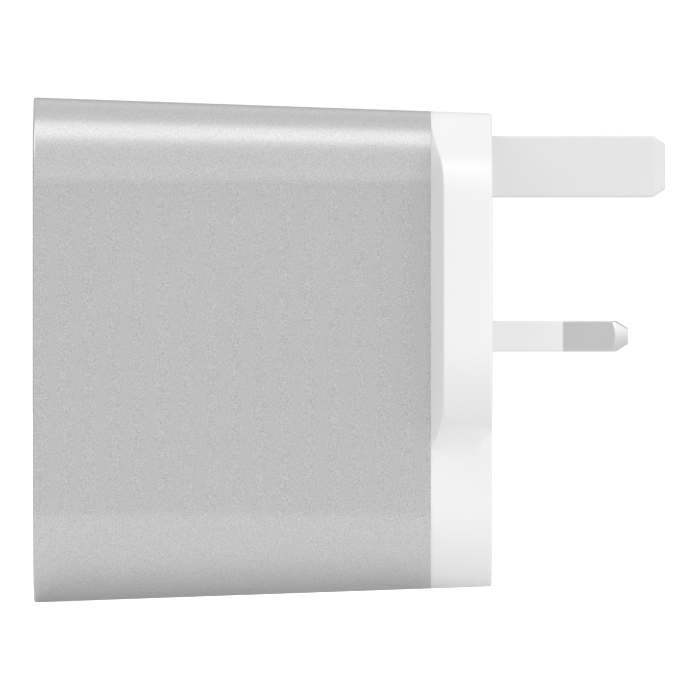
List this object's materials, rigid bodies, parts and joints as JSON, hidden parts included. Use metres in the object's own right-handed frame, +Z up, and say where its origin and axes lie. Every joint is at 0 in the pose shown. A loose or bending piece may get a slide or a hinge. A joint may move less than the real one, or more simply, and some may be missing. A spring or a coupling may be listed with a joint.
{
  "type": "usb wall charger",
  "caption": "Plug-in USB wall charger: tapered silver sleeve on a white winged plug base with rectangular pins, and USB sockets in the opposite end.",
  "frame": {"origin": "on the flat plug face, half-way between the live and neutral pins", "axes": "+Y out of the plug face along the pins, +Z up towards the earth pin, +X towards the live pin"},
  "size_m": [0.0484, 0.0826, 0.066],
  "materials": {
    "silver_paint": "fine metallic paint, satin",
    "white_shell": "satin",
    "pin_insulation": "satin",
    "earth_plastic": "satin",
    "pin_nickel": "nickel plated, satin",
    "grey_plastic": "moulded",
    "zinc_screw": "zinc plated",
    "spring_copper": "rolled strip",
    "board_laminate": "solder mask",
    "ferrite": "ground",
    "bobbin_plastic": "moulded",
    "copper_wire": "enamelled",
    "yellow_tape": "polyester film",
    "can_aluminium": "drawn",
    "rubber_bung": "moulded",
    "chip_black": "moulded",
    "film_yellow": "moulded box",
    "blue_epoxy": "dipped",
    "green_epoxy": "dipped",
    "insulation_card": "film",
    "pad_silicone": "soft",
    "spreader_aluminium": "rolled",
    "socket_steel": "nickel plated",
    "contact_gold": "gold plated",
    "tongue_black": "moulded"
  },
  "bodies": {
    "root": {"sleeve": "silver_paint", "front_bezel": "white_shell", "plug_base": "white_shell", "earth_pin": "earth_plastic", "live_pin": "pin_nickel", "neutral_pin": "pin_nickel", "live_pin_sleeve": "pin_insulation", "neutral_pin_sleeve": "pin_insulation", "pin_retainer": "grey_plastic", "retainer_screws": "zinc_screw", "live_spring": "spring_copper", "neutral_spring": "spring_copper", "main_board": "board_laminate", "insulation_sheet": "insulation_card", "transformer_core": "ferrite", "transformer_bobbin": "bobbin_plastic", "transformer_winding": "copper_wire", "transformer_tape": "yellow_tape", "transformer_pins": "zinc_screw", "bulk_capacitors": "can_aluminium", "capacitor_seals": "rubber_bung", "input_fuse": "chip_black", "inrush_thermistor": "green_epoxy", "filter_capacitor": "film_yellow", "safety_capacitor": "blue_epoxy", "bridge_rectifier": "chip_black", "optocoupler": "chip_black", "switching_controller": "chip_black", "switching_transistor": "chip_black", "synchronous_rectifier": "chip_black", "choke_core": "ferrite", "choke_windings": "copper_wire", "thermal_pad": "pad_silicone", "heat_spreader": "spreader_aluminium", "usb_board": "board_laminate", "output_capacitors": "can_aluminium", "output_inductor": "ferrite", "usb_controller": "chip_black", "chip_parts": "chip_black", "header_pins": "contact_gold", "board_header": "chip_black", "usb_a_shell": "socket_steel", "usb_a_tongue": "tongue_black", "usb_a_contacts": "contact_gold", "usb_c_shell": "socket_steel", "usb_c_tongue": "tongue_black", "usb_c_contacts": "contact_gold"}
  },
  "joints": []
}
